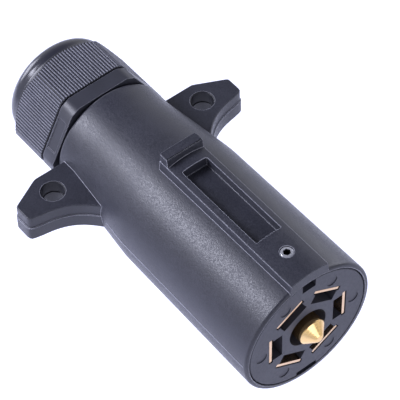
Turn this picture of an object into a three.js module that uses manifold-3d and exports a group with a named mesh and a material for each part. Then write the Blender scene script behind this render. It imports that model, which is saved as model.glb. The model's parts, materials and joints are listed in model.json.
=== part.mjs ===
// Seven-way round trailer wiring plug: a moulded housing with two mounting ears, a removable contact
// core with six blades and a centre pin, and a compression cable gland at the rear.
// Millimetres. +X runs out of the mating face, +Z is the side with the latch pad, +Y is to the right
// of somebody facing the contacts. The origin is the centre of the front rim, on the plug's own axis.
import * as THREE from "three";
import { mergeVertices } from "three/addons/utils/BufferGeometryUtils.js";
import Module from "manifold-3d";

const wasm = await Module();
wasm.setup();

// ---------------------------------------------------------------- driving dimensions
const GAP = 0.3; // running or seating clearance between pieces that touch
const THROUGH = 2; // how far a cutter runs past the face it opens
const FINE = 64; // facets round a large turned surface
const MEDIUM = 32; // facets round a bore a finger could enter
const SMALL = 20; // facets round a screw

const BARREL = {
  frontRadius: 24.05,
  midRadius: 23.45,
  midX: -61.5,
  neckRadius: 20.4,
  neckX: -90,
  rearX: -98.4,
  rimRound: 1.0,
  shoulderRound: 1.9,
  gasketSeatX: -97.3,
  gasketSeatRadius: 17.8,
};

const BORE = {
  faceRadius: 22.55,
  faceDepth: 2.5,
  coreRadius: 21.9,
  ledgeX: -26.3,
  chamberRadius: 20.6,
  chamberEndX: -60,
  throatRadius: 17.4,
  throatX: -82,
  threadX: -88,
  threadRadius: 15.2,
};

const KEY = { halfWidth: 3.55, topZ: -20.6, frontX: -3 };

const PAD = {
  topRadius: 26.7,
  halfTop: 7.0,
  halfFoot: 7.4,
  topEdgeZ: 25.77,
  footZ: 22,
  rearX: -61.6,
  draft: 0.2,
};

const POCKET = { frontX: -18.6, rearX: -53.5, halfWidth: 4.7, floorZ: 23.0, corner: 1.0 };

const CATCH = {
  rearX: -61.9,
  topFrontX: -58.2,
  footFrontX: -57.0,
  topZ: 29.0,
  footZ: 25.4,
  halfWidth: 6.95,
  corner: 2.0,
};

const EAR = {
  topZ: 4.6,
  undersideZ: -5.2,
  edge: 0.5,
  rootY: 17,
  rearX: -95.5,
  bendY: 31.5,
  tipY: 42.4,
  tipRearX: -90.0,
  tipFrontX: -83.2,
  tipRound: 1.2,
  tipFrontRound: 2.8,
  sweep: [[-82.3, 38], [-81.4, 31], [-79.0, 26.5], [-73.2, 21.9]], // concave front edge, tip to root
  rootFrontX: -70.5,
  rootFrontY: 19.6,
  holeX: -87.75,
  holeY: 29.8,
  holeRadius: 3.7,
};

const LOCK = { x: -10.4, radius: 2.1, tipZ: 21.9, topZ: 26.5, socketAcross: 2.0, socketDepth: 2.2 };
const BUSH = { radius: 3.1, bottomZ: 22.3, topZ: 25.0, holeStartZ: 20.7 };

const CORE = {
  faceX: -0.2,
  faceRadius: 22.25,
  flangeX: -2.2,
  bodyRadius: 21.6,
  rearX: -26.0,
  recessRadius: 7.0,
  recessX: -12,
  topNotchHalf: 2.5,
  topNotchZ: 18.9,
  topNotchX: -5.2,
  keywayHalf: 3.9,
  keywayZ: -20.3,
};

const BLADE = {
  count: 6,
  firstAngle: 30,
  inner: 13.7,
  outer: 14.7,
  halfWidth: 5.45,
  frontX: -0.4,
  shoulderX: -22,
  tailHalf: 3.2,
};

const WINDOW = { inner: 9.9, halfWidth: 4.85, rearX: -20 };
const MARK = { radius: 2.0, depth: 0.25, ring: 17.8 };

const TERMINAL = {
  inner: 9.4,
  outer: 15.5,
  halfWidth: 3.2,
  frontX: -31.0,
  rearX: -43.5,
  wireRadius: 1.8,
  wireCentre: 12.0,
  wireEndX: -33.5,
  screwX: -38,
};

const BLOCK = { radius: 17.6, frontX: -26.3, rearX: -44.5, pinBore: 4.3, pocketFrontX: -30.7 };

const PIN = {
  radius: 4.7,
  coneX: 2.0,
  tipX: 5.3,
  tipRadius: 1.3,
  shoulderX: -24,
  tailRadius: 4.0,
  rearX: -34,
  wireRadius: 1.8,
  wireEndX: -27,
  screwX: -28.8,
  screwAngle: 180,
};

const WIRE_SCREW = {
  shankRadius: 1.4,
  headRadius: 2.4,
  headInner: 15.8,
  headOuter: 17.3,
  bladeTip: 14.1,
  pinTip: 2.3,
  slotWidth: 0.7,
  slotDepth: 0.7,
};

const CORE_SCREW = {
  angles: [60, 300],
  ring: 13.5,
  shankRadius: 1.2,
  headRadius: 2.2,
  headRearX: -44.2,
  headFrontX: -42.6,
  tipX: -22,
  crossLength: 2.6,
  crossWidth: 0.6,
  crossDepth: 0.8,
};

const GLAND = {
  turn: -2.1, // how far the hexagons are turned about the axis from one flat facing up
  acrossFlats: 39.7,
  cornerCut: 2.13,
  frontX: -99.0,
  hexRearX: -104.7,
  sleeveRadius: 14.9,
  sleeveX: -89.0,
  bore: 11.6,
  barrelRadius: 14.6,
  barrelX: -117.5,
};

const PANEL = { flat: -60, halfWidth: 5.8, frontX: -100.2, rearX: -104.0, depth: 0.35 };
const GASKET = { outer: 17.4, inner: 15.3, frontX: -97.6, rearX: -98.7 };

const NUT = {
  frontX: -105.2,
  cornerRadius: 22.4,
  edge: 0.6,
  // where the corners turn down to the dome, as [x, radius]
  shoulder: [[-119.2, 22.4], [-121.0, 21.05], [-122.0, 19.85], [-122.7, 19.1]],
  domeRadius: 19.1,
  domeX: -124.2,
  domeRound: 5.4,
  rearX: -129.6,
  lipRound: 2.5,
  openingRadius: 10.9,
  threadRadius: 14.9,
  threadX: -118.6,
  coneX: -124.0,
};

const CLAW = {
  inner: 8.8,
  outer: 10.4,
  ringOuter: 11.3,
  frontX: -107.5,
  ringX: -112,
  rearX: -127.6,
};

const SEAL = { inner: 6.5, outer: 8.5, frontX: -108, rearX: -126.6, flare: 0.8 };

// ---------------------------------------------------------------- finishes
const FINISH = {
  nylon: { color: 0x34363c, roughness: 0.55, metalness: 0 },
  insulator: { color: 0x40424a, roughness: 0.6, metalness: 0 },
  rubber: { color: 0x232427, roughness: 0.9, metalness: 0 },
  brass: { color: 0xc79a4b, roughness: 0.3, metalness: 1 },
  steel: { color: 0x9a9da3, roughness: 0.35, metalness: 1 },
};

const group = new THREE.Group();
group.name = "trailer_wiring_connector";

// ---------------------------------------------------------------- solids
/** Turns a closed three.js geometry into a solid, whichever way round its faces were wound. */
function solid(geometry) {
  const bare = new THREE.BufferGeometry();
  bare.setAttribute("position", geometry.getAttribute("position"));
  bare.setIndex(geometry.getIndex());
  const merged = mergeVertices(bare, 1e-4);
  const vertProperties = new Float32Array(merged.attributes.position.array);
  const triVerts = new Uint32Array(merged.index.array);
  const made = new wasm.Manifold(new wasm.Mesh({ numProp: 3, vertProperties, triVerts }));
  if (made.volume() > 0) {
    return made;
  }
  for (let i = 0; i < triVerts.length; i += 3) {
    [triVerts[i + 1], triVerts[i + 2]] = [triVerts[i + 2], triVerts[i + 1]];
  }
  return new wasm.Manifold(new wasm.Mesh({ numProp: 3, vertProperties, triVerts }));
}

/** A solid of revolution about the X axis from a closed list of [x, radius]. */
function turned(profile, facets = FINE) {
  const points = profile.map(([x, radius]) => new THREE.Vector2(radius, x));
  points.push(points[0].clone());
  const lathe = new THREE.LatheGeometry(points, facets);
  lathe.rotateZ(-Math.PI / 2);
  return solid(lathe);
}

/** A round bar along X. */
function bar(frontX, rearX, radius, facets = MEDIUM) {
  const rod = new THREE.CylinderGeometry(radius, radius, frontX - rearX, facets);
  rod.rotateZ(-Math.PI / 2);
  rod.translate((frontX + rearX) / 2, 0, 0);
  return solid(rod);
}

/** A round bar along Z, standing at (x, y). */
function post(x, y, bottomZ, topZ, radius, facets = SMALL) {
  const rod = new THREE.CylinderGeometry(radius, radius, topZ - bottomZ, facets);
  rod.rotateX(Math.PI / 2);
  rod.translate(x, y, (bottomZ + topZ) / 2);
  return solid(rod);
}

/** A box given by its two corners. */
function box([x0, y0, z0], [x1, y1, z1]) {
  const cuboid = new THREE.BoxGeometry(x1 - x0, y1 - y0, z1 - z0);
  cuboid.translate((x0 + x1) / 2, (y0 + y1) / 2, (z0 + z1) / 2);
  return solid(cuboid);
}

/** An outline in the X-Y plane carried up Z, with an optional small bevel on both faces. */
function plate(shape, bottomZ, topZ, bevel = 0) {
  const made = new THREE.ExtrudeGeometry(shape, {
    depth: topZ - bottomZ - 2 * bevel,
    bevelEnabled: bevel > 0,
    bevelThickness: bevel,
    bevelSize: bevel,
    bevelOffset: -bevel,
    bevelSegments: 2,
    curveSegments: 6,
  });
  made.translate(0, 0, bottomZ + bevel);
  return solid(made);
}

/** A polygon in the Y-Z plane, as [y, z] corners, carried along X. */
function prism(corners, frontX, rearX) {
  const shape = new THREE.Shape(corners.map(([y, z]) => new THREE.Vector2(y, z)));
  const made = new THREE.ExtrudeGeometry(shape, { depth: frontX - rearX, bevelEnabled: false });
  // The shape's own axes are Y and Z of the plug, and it is carried along X.
  const place = new THREE.Matrix4().set(0, 0, 1, rearX, 1, 0, 0, 0, 0, 1, 0, 0, 0, 0, 0, 1);
  made.applyMatrix4(place);
  return solid(made);
}

/** Turns a solid about the plug's axis, clockwise from up as seen facing the contacts. */
function swing(part, degrees) {
  return part.rotate([-degrees, 0, 0]);
}

/** Adds up a list of solids. */
function joined(parts) {
  return parts.reduce((whole, next) => whole.add(next));
}

/** Takes a list of cutters away from a solid. */
function less(part, cutters) {
  return cutters.reduce((left, cutter) => left.subtract(cutter), part);
}

/** Puts a finished solid into the group as one named mesh. */
function publish(name, part, finish) {
  const { vertProperties, triVerts, numProp } = part.getMesh();
  const positions = new Float32Array((vertProperties.length / numProp) * 3);
  for (let i = 0; i < positions.length / 3; i += 1) {
    positions.set(vertProperties.subarray(i * numProp, i * numProp + 3), i * 3);
  }
  const geometry = new THREE.BufferGeometry();
  geometry.setAttribute("position", new THREE.BufferAttribute(positions, 3));
  geometry.setIndex(new THREE.BufferAttribute(new Uint32Array(triVerts), 1));
  geometry.computeVertexNormals();
  const mesh = new THREE.Mesh(geometry, new THREE.MeshStandardMaterial(FINISH[finish]));
  mesh.name = name;
  group.add(mesh);
}

/** Points [x, radius] along a quarter round of the profile, from one angle to another in degrees. */
function arc(centreX, centreRadius, radius, fromDegrees, toDegrees, steps = 4) {
  const points = [];
  for (let i = 0; i <= steps; i += 1) {
    const angle = THREE.MathUtils.degToRad(fromDegrees + ((toDegrees - fromDegrees) * i) / steps);
    points.push([centreX + radius * Math.cos(angle), centreRadius + radius * Math.sin(angle)]);
  }
  return points;
}

// ---------------------------------------------------------------- housing
/** The barrel's outside as a solid, with no bore in it. */
function barrelBlank() {
  const rim = BARREL.rimRound;
  const shoulder = BARREL.shoulderRound;
  return turned([
    [0, 0],
    ...arc(-rim, BARREL.frontRadius - rim, rim, 0, 90),
    [BARREL.midX, BARREL.midRadius],
    [BARREL.neckX, BARREL.neckRadius],
    ...arc(BARREL.rearX + shoulder, BARREL.neckRadius - shoulder, shoulder, 90, 180),
    [BARREL.rearX, 0],
  ]);
}

/** The stepped bore right through the barrel, as a cutter. */
function barrelBore() {
  return turned([
    [THROUGH, 0],
    [THROUGH, BORE.faceRadius],
    [-BORE.faceDepth, BORE.faceRadius],
    [-BORE.faceDepth, BORE.coreRadius],
    [BORE.ledgeX, BORE.coreRadius],
    [BORE.ledgeX, BORE.chamberRadius],
    [BORE.chamberEndX, BORE.chamberRadius],
    [BORE.throatX, BORE.throatRadius],
    [BORE.threadX, BORE.threadRadius],
    [BARREL.gasketSeatX, BORE.threadRadius],
    [BARREL.gasketSeatX, BARREL.gasketSeatRadius],
    [BARREL.rearX - THROUGH, BARREL.gasketSeatRadius],
    [BARREL.rearX - THROUGH, 0],
  ]);
}

/** The raised pad along the top, its top face concentric with the barrel. */
function pad() {
  const section = [
    [-PAD.halfFoot, PAD.footZ],
    [PAD.halfFoot, PAD.footZ],
    [PAD.halfTop, PAD.topEdgeZ],
    [PAD.halfTop - PAD.draft, PAD.topRadius + 1],
    [PAD.draft - PAD.halfTop, PAD.topRadius + 1],
    [-PAD.halfTop, PAD.topEdgeZ],
  ];
  const wedge = prism(section, 0, PAD.rearX);
  return wedge.intersect(bar(THROUGH, PAD.rearX - THROUGH, PAD.topRadius, 2 * FINE));
}

/** The latch catch at the rear of the pad: flat top, raked front face, rear corners rounded. */
function latchCatch() {
  const side = new THREE.Shape();
  side.moveTo(CATCH.rearX, PAD.footZ);
  side.lineTo(CATCH.footFrontX, PAD.footZ);
  side.lineTo(CATCH.footFrontX, CATCH.footZ);
  side.lineTo(CATCH.topFrontX, CATCH.topZ);
  side.lineTo(CATCH.rearX, CATCH.topZ);
  side.closePath();
  const wedge = new THREE.ExtrudeGeometry(side, { depth: 2 * CATCH.halfWidth, bevelEnabled: false });
  wedge.translate(0, 0, -CATCH.halfWidth);
  wedge.rotateX(Math.PI / 2);
  const plan = roundedPlan(CATCH.rearX, 0, CATCH.halfWidth, CATCH.corner, 0);
  return solid(wedge).intersect(plate(plan, PAD.footZ - THROUGH, CATCH.topZ + THROUGH));
}

/** A rectangle symmetric about Y = 0 in plan, with separate corner radii at its rear and front. */
function roundedPlan(rearX, frontX, half, rearCorner, frontCorner) {
  const plan = new THREE.Shape();
  plan.moveTo(rearX + rearCorner, -half);
  plan.lineTo(frontX - frontCorner, -half);
  if (frontCorner > 0) {
    plan.quadraticCurveTo(frontX, -half, frontX, -half + frontCorner);
  }
  plan.lineTo(frontX, half - frontCorner);
  if (frontCorner > 0) {
    plan.quadraticCurveTo(frontX, half, frontX - frontCorner, half);
  }
  plan.lineTo(rearX + rearCorner, half);
  plan.quadraticCurveTo(rearX, half, rearX, half - rearCorner);
  plan.lineTo(rearX, -half + rearCorner);
  plan.quadraticCurveTo(rearX, -half, rearX + rearCorner, -half);
  return plan;
}

/** One mounting ear with its through hole; side is +1 for the +Y ear and -1 for the other. */
function ear(side) {
  const { rearX, bendY, tipY, tipRearX, tipFrontX, tipRound, tipFrontRound } = EAR;
  const half = tipRound / 2;
  const [sweepTip, tipPull, rootPull, sweepRoot] = EAR.sweep.map(([x, y]) => [x, side * y]);
  const plan = new THREE.Shape();
  plan.moveTo(rearX, side * EAR.rootY);
  plan.lineTo(rearX, side * (bendY - tipRound));
  plan.quadraticCurveTo(rearX, side * bendY, rearX + half, side * (bendY + tipRound));
  plan.lineTo(tipRearX - half, side * (tipY - tipRound));
  plan.quadraticCurveTo(tipRearX, side * tipY, tipRearX + tipRound, side * tipY);
  plan.lineTo(tipFrontX - tipFrontRound, side * tipY);
  plan.quadraticCurveTo(tipFrontX, side * tipY, tipFrontX, side * (tipY - tipFrontRound));
  plan.lineTo(...sweepTip);
  plan.bezierCurveTo(...tipPull, ...rootPull, ...sweepRoot);
  plan.lineTo(EAR.rootFrontX, side * EAR.rootFrontY);
  plan.lineTo(EAR.rootFrontX, side * EAR.rootY);
  plan.closePath();
  const hole = post(
    EAR.holeX,
    side * EAR.holeY,
    EAR.undersideZ - THROUGH,
    EAR.topZ + THROUGH,
    EAR.holeRadius,
    MEDIUM,
  );
  return less(plate(plan, EAR.undersideZ, EAR.topZ, EAR.edge), [hole]);
}

const holdKey = box(
  [BORE.ledgeX - 1, -KEY.halfWidth, -BORE.coreRadius - 0.6],
  [KEY.frontX, KEY.halfWidth, KEY.topZ],
);
const pocket = plate(
  roundedPlan(POCKET.rearX, POCKET.frontX, POCKET.halfWidth, POCKET.corner, POCKET.corner / 2),
  POCKET.floorZ,
  CATCH.topZ + THROUGH,
);
const lockHole = post(LOCK.x, 0, BUSH.holeStartZ, CATCH.topZ + THROUGH, LOCK.radius + GAP);
const bushHole = post(LOCK.x, 0, BUSH.holeStartZ, BUSH.topZ + GAP, BUSH.radius + GAP);
const moulded = less(joined([barrelBlank(), pad(), latchCatch(), ear(1), ear(-1)]), [barrelBore()]);
const housing = less(joined([moulded, holdKey]), [pocket, lockHole, bushHole]);
publish("housing", housing, "nylon");

// ---------------------------------------------------------------- lock screw and its threaded bush
const bush = less(post(LOCK.x, 0, BUSH.bottomZ, BUSH.topZ, BUSH.radius), [
  post(LOCK.x, 0, BUSH.bottomZ - THROUGH, BUSH.topZ + THROUGH, LOCK.radius + GAP),
]);
publish("lock_bush", bush, "brass");

const socket = post(
  LOCK.x,
  0,
  LOCK.topZ - LOCK.socketDepth,
  LOCK.topZ + THROUGH,
  LOCK.socketAcross / Math.sqrt(3),
  6,
);
const lockScrew = less(post(LOCK.x, 0, LOCK.tipZ, LOCK.topZ, LOCK.radius), [socket]);
publish("lock_screw", lockScrew, "steel");

// ---------------------------------------------------------------- contact core
/** A bar of rectangular section placed at a blade's station: radial limits, half width, X limits. */
function stationBar(inner, outer, half, frontX, rearX, angle) {
  return swing(box([rearX, -half, inner], [frontX, half, outer]), angle);
}

/** The shallow round dimple moulded outside each blade. */
function dimple(angle) {
  const disc = bar(CORE.faceX + THROUGH, CORE.faceX - MARK.depth, MARK.radius, SMALL);
  return swing(disc.translate([0, 0, MARK.ring]), angle);
}

const bladeAngles = Array.from({ length: BLADE.count }, (_, i) => BLADE.firstAngle + (360 / BLADE.count) * i);

const coreBlank = turned([
  [CORE.faceX, 0],
  [CORE.faceX, CORE.faceRadius - 0.25],
  [CORE.faceX - 0.25, CORE.faceRadius],
  [CORE.flangeX, CORE.faceRadius],
  [CORE.flangeX, CORE.bodyRadius],
  [CORE.rearX, CORE.bodyRadius],
  [CORE.rearX, 0],
]);
const coreCuts = [
  bar(THROUGH, CORE.recessX, CORE.recessRadius, 40),
  bar(THROUGH, CORE.rearX - THROUGH, PIN.radius + GAP),
  box([CORE.topNotchX, -CORE.topNotchHalf, CORE.topNotchZ], [THROUGH, CORE.topNotchHalf, 30]),
  box([CORE.rearX - THROUGH, -CORE.keywayHalf, -30], [THROUGH, CORE.keywayHalf, CORE.keywayZ]),
];
for (const angle of bladeAngles) {
  const inner = BLADE.inner - GAP;
  const outer = BLADE.outer + GAP;
  coreCuts.push(
    stationBar(inner, outer, BLADE.halfWidth + GAP, THROUGH, BLADE.shoulderX - GAP, angle),
    stationBar(inner, outer, BLADE.tailHalf + GAP, THROUGH, CORE.rearX - THROUGH, angle),
    stationBar(WINDOW.inner, BLADE.inner, WINDOW.halfWidth, THROUGH, WINDOW.rearX, angle),
    dimple(angle),
  );
}
for (const angle of CORE_SCREW.angles) {
  const hole = bar(CORE_SCREW.tipX + GAP, CORE.rearX - THROUGH, CORE_SCREW.shankRadius + GAP, SMALL);
  coreCuts.push(swing(hole.translate([0, 0, CORE_SCREW.ring]), angle));
}
publish("contact_core", less(coreBlank, coreCuts), "insulator");

// ---------------------------------------------------------------- terminal block behind the core
const blockCuts = [
  bar(THROUGH, BLOCK.rearX - THROUGH, BLOCK.pinBore),
  swing(post(PIN.screwX, 0, 0, BLOCK.radius + THROUGH, WIRE_SCREW.shankRadius + GAP), PIN.screwAngle),
  swing(
    post(PIN.screwX, 0, WIRE_SCREW.headInner - GAP, BLOCK.radius + THROUGH, WIRE_SCREW.headRadius + GAP),
    PIN.screwAngle,
  ),
];
for (const angle of bladeAngles) {
  const tailHalf = BLADE.tailHalf + GAP;
  const head = post(
    TERMINAL.screwX,
    0,
    TERMINAL.outer - GAP,
    BLOCK.radius + THROUGH,
    WIRE_SCREW.headRadius + GAP,
  );
  blockCuts.push(
    stationBar(BLADE.inner - GAP, BLADE.outer + GAP, tailHalf, THROUGH, TERMINAL.rearX, angle),
    stationBar(
      TERMINAL.inner - GAP,
      TERMINAL.outer + GAP,
      TERMINAL.halfWidth + GAP,
      BLOCK.pocketFrontX,
      BLOCK.rearX - THROUGH,
      angle,
    ),
    swing(head, angle),
  );
}
for (const angle of CORE_SCREW.angles) {
  const shank = bar(THROUGH, BLOCK.rearX - THROUGH, CORE_SCREW.shankRadius + GAP, SMALL);
  const head = bar(CORE_SCREW.headFrontX + GAP, BLOCK.rearX - THROUGH, CORE_SCREW.headRadius + GAP, SMALL);
  blockCuts.push(swing(shank.add(head).translate([0, 0, CORE_SCREW.ring]), angle));
}
const blockBlank = turned(
  [
    [BLOCK.frontX, 0],
    [BLOCK.frontX, BLOCK.radius],
    [BLOCK.rearX, BLOCK.radius],
    [BLOCK.rearX, 0],
  ],
  48,
);
publish("terminal_block", less(blockBlank, blockCuts), "insulator");

// ---------------------------------------------------------------- blade contacts and their wire screws
/** A pan-headed slotted screw along +Z, from its tip to the top of its head. */
function wireScrew(x, tipZ) {
  const half = WIRE_SCREW.slotWidth / 2;
  const slot = box(
    [x - half, -WIRE_SCREW.headRadius - 1, WIRE_SCREW.headOuter - WIRE_SCREW.slotDepth],
    [x + half, WIRE_SCREW.headRadius + 1, WIRE_SCREW.headOuter + 1],
  );
  const shank = post(x, 0, tipZ, WIRE_SCREW.headInner + 0.2, WIRE_SCREW.shankRadius, 16);
  const head = post(x, 0, WIRE_SCREW.headInner, WIRE_SCREW.headOuter, WIRE_SCREW.headRadius);
  return less(joined([shank, head]), [slot]);
}

/** One brass blade: wide mating strip, narrow tail and the wire clamp behind it. */
function bladeContact() {
  const strip = box(
    [BLADE.shoulderX, -BLADE.halfWidth, BLADE.inner],
    [BLADE.frontX, BLADE.halfWidth, BLADE.outer],
  );
  const tail = box(
    [TERMINAL.frontX - 1, -BLADE.tailHalf, BLADE.inner],
    [BLADE.shoulderX + 1, BLADE.tailHalf, BLADE.outer],
  );
  const clamp = box(
    [TERMINAL.rearX, -TERMINAL.halfWidth, TERMINAL.inner],
    [TERMINAL.frontX, TERMINAL.halfWidth, TERMINAL.outer],
  );
  const wire = bar(TERMINAL.wireEndX, TERMINAL.rearX - THROUGH, TERMINAL.wireRadius, SMALL);
  const tapped = post(
    TERMINAL.screwX,
    0,
    TERMINAL.wireCentre,
    TERMINAL.outer + THROUGH,
    WIRE_SCREW.shankRadius + GAP,
    16,
  );
  return less(joined([strip, tail, clamp]), [wire.translate([0, 0, TERMINAL.wireCentre]), tapped]);
}

bladeAngles.forEach((angle, i) => {
  publish(`blade_contact_${i + 1}`, swing(bladeContact(), angle), "brass");
  const screw = wireScrew(TERMINAL.screwX, WIRE_SCREW.bladeTip);
  publish(`terminal_screw_${i + 1}`, swing(screw, angle), "steel");
});

// ---------------------------------------------------------------- centre pin
const pinBlank = turned(
  [
    [PIN.tipX, 0],
    [PIN.tipX, PIN.tipRadius],
    [PIN.coneX, PIN.radius],
    [PIN.shoulderX, PIN.radius],
    [PIN.shoulderX, PIN.tailRadius],
    [PIN.rearX, PIN.tailRadius],
    [PIN.rearX, 0],
  ],
  40,
);
const pinTapped = post(PIN.screwX, 0, 0, PIN.radius + THROUGH, WIRE_SCREW.shankRadius + GAP, 16);
const pin = less(pinBlank, [
  bar(PIN.wireEndX, PIN.rearX - THROUGH, PIN.wireRadius, SMALL),
  swing(pinTapped, PIN.screwAngle),
]);
publish("centre_pin", pin, "brass");
publish("terminal_screw_7", swing(wireScrew(PIN.screwX, WIRE_SCREW.pinTip), PIN.screwAngle), "steel");

// ---------------------------------------------------------------- screws joining core and block
CORE_SCREW.angles.forEach((angle, i) => {
  const { headRearX, headFrontX, crossLength, crossWidth, crossDepth } = CORE_SCREW;
  const shank = bar(CORE_SCREW.tipX, headFrontX - 0.2, CORE_SCREW.shankRadius, 16);
  const head = bar(headFrontX, headRearX, CORE_SCREW.headRadius, SMALL);
  const floor = headRearX + crossDepth;
  const arms = [
    box([headRearX - 1, -crossLength / 2, -crossWidth / 2], [floor, crossLength / 2, crossWidth / 2]),
    box([headRearX - 1, -crossWidth / 2, -crossLength / 2], [floor, crossWidth / 2, crossLength / 2]),
  ];
  const screw = less(joined([shank, head]), arms);
  publish(`core_screw_${i + 1}`, swing(screw.translate([0, 0, CORE_SCREW.ring]), angle), "steel");
});

// ---------------------------------------------------------------- cable gland
/** Corners [y, z] of a hexagon across flats, one flat facing up, each corner cut back along its flats. */
function hexCorners(acrossFlats, cut) {
  const corners = [];
  const side = acrossFlats / Math.sqrt(3);
  for (let i = 0; i < 6; i += 1) {
    const normal = THREE.MathUtils.degToRad(60 * i);
    for (const along of [-1, 1]) {
      const t = along * (side / 2 - cut);
      const y = (acrossFlats / 2) * Math.sin(normal) + t * Math.cos(normal);
      const z = (acrossFlats / 2) * Math.cos(normal) - t * Math.sin(normal);
      corners.push([y, z]);
    }
  }
  return corners;
}

const glandHex = prism(hexCorners(GLAND.acrossFlats, GLAND.cornerCut), GLAND.frontX, GLAND.hexRearX);
const glandForm = joined([
  swing(glandHex, GLAND.turn),
  bar(GLAND.sleeveX, GLAND.frontX - 1, GLAND.sleeveRadius, 48),
  bar(GLAND.hexRearX + 1, GLAND.barrelX, GLAND.barrelRadius, 48),
]);
const panelFace = GLAND.acrossFlats / 2;
const panelCut = box(
  [PANEL.rearX, -PANEL.halfWidth, panelFace - PANEL.depth],
  [PANEL.frontX, PANEL.halfWidth, panelFace + THROUGH],
);
publish(
  "gland_body",
  less(glandForm, [
    bar(THROUGH, GLAND.barrelX - THROUGH, GLAND.bore, 48),
    swing(panelCut, GLAND.turn + PANEL.flat),
  ]),
  "nylon",
);

/** A plain ring about the axis. */
function ring(frontX, rearX, inner, outer, facets = 48) {
  return turned(
    [
      [frontX, inner],
      [frontX, outer],
      [rearX, outer],
      [rearX, inner],
    ],
    facets,
  );
}

publish("gland_gasket", ring(GASKET.frontX, GASKET.rearX, GASKET.inner, GASKET.outer), "rubber");

const nutSweep = turned([
  [NUT.frontX, 0],
  [NUT.frontX, NUT.cornerRadius - NUT.edge],
  [NUT.frontX - NUT.edge, NUT.cornerRadius],
  ...NUT.shoulder,
  [NUT.domeX, NUT.domeRadius - GAP],
  [NUT.domeX, 0],
]);
const nutHex = swing(prism(hexCorners(GLAND.acrossFlats, 0), NUT.frontX, NUT.domeX), GLAND.turn);
const dome = turned([
  [NUT.shoulder[2][0], 0],
  [NUT.shoulder[2][0], NUT.domeRadius],
  ...arc(NUT.domeX, NUT.domeRadius - NUT.domeRound, NUT.domeRound, 90, 180, 8),
  ...arc(NUT.rearX + NUT.lipRound, NUT.openingRadius + NUT.lipRound, NUT.lipRound, 180, 270, 4),
  [NUT.rearX + NUT.lipRound, 0],
]);
const nutBore = turned([
  [THROUGH, 0],
  [THROUGH, NUT.threadRadius],
  [NUT.threadX, NUT.threadRadius],
  [NUT.coneX, NUT.openingRadius],
  [NUT.rearX - THROUGH, NUT.openingRadius],
  [NUT.rearX - THROUGH, 0],
]);
publish("gland_nut", less(joined([nutHex.intersect(nutSweep), dome]), [nutBore]), "nylon");

// The cage's fingers stand 0.2 mm apart when it is closed on a cable, so they are one ring here.
const claw = joined([
  ring(CLAW.frontX, CLAW.ringX, CLAW.inner, CLAW.ringOuter),
  ring(CLAW.ringX + GAP, CLAW.rearX, CLAW.inner, CLAW.outer),
]);
publish("gland_claw", claw, "nylon");

publish(
  "gland_seal",
  turned(
    [
      [SEAL.frontX, SEAL.inner],
      [SEAL.frontX, SEAL.outer],
      [SEAL.rearX, SEAL.outer],
      [SEAL.rearX, SEAL.inner + SEAL.flare],
      [SEAL.rearX + SEAL.flare, SEAL.inner],
    ],
    48,
  ),
  "rubber",
);

export default group;
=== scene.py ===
"""Seven-way trailer wiring plug with a cable gland: the visual model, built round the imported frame.

Sizes are in millimetres. +X runs out of the mating face, +Z is the side with the latch pad and +Y is
to the right of somebody facing the contacts. The origin is the centre of the front rim.
"""

from __future__ import annotations

import json
import logging
import math
from dataclasses import asdict, dataclass
from enum import Enum
from typing import Callable, Sequence

import bmesh
import bpy
from mathutils import Euler, Matrix, Vector

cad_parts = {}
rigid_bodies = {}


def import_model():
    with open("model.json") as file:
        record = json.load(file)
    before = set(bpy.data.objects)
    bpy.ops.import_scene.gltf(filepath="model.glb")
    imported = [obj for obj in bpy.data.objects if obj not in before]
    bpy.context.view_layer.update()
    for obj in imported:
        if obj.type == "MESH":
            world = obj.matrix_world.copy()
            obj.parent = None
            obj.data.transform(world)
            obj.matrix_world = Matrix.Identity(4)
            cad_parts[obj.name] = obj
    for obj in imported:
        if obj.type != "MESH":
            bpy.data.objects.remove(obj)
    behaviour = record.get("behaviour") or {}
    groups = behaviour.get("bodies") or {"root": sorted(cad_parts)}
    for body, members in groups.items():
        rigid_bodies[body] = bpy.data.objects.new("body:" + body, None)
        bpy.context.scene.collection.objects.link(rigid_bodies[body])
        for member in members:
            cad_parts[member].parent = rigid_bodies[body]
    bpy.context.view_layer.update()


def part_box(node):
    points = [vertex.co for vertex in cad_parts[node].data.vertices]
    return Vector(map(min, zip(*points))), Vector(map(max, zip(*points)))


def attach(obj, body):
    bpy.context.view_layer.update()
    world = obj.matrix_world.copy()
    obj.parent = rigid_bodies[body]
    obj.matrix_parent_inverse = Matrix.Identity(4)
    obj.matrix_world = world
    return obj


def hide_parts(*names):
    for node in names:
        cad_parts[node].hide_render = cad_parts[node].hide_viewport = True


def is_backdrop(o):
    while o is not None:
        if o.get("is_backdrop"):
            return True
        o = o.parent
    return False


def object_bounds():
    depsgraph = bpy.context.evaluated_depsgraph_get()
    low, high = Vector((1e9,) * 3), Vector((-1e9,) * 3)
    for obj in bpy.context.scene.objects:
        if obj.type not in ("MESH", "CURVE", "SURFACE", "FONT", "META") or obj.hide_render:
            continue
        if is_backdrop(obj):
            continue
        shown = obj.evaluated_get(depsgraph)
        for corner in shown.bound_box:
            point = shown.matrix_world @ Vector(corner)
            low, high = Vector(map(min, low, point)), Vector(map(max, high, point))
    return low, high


LOG = logging.getLogger("trailer_plug")
MM = 0.001

Pair = tuple[float, float]
Triple = tuple[float, float, float]
Piece = bpy.types.Object
Material = bpy.types.Material
Tree = bpy.types.NodeTree
Node = bpy.types.Node
Socket = bpy.types.NodeSocket

ALONG_X = Matrix.Identity(4)
ALONG_Z = Matrix.Rotation(math.radians(-90), 4, "Y")


# ------------ meshes
class Join(Enum):
    """How a second solid is worked into the first."""

    ADD = "UNION"
    CUT = "DIFFERENCE"


def link(name: str, mesh: bpy.types.Mesh) -> Piece:
    """Puts a mesh into the scene as an object at the origin."""
    made = bpy.data.objects.new(name, mesh)
    bpy.context.scene.collection.objects.link(made)
    return made


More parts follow.
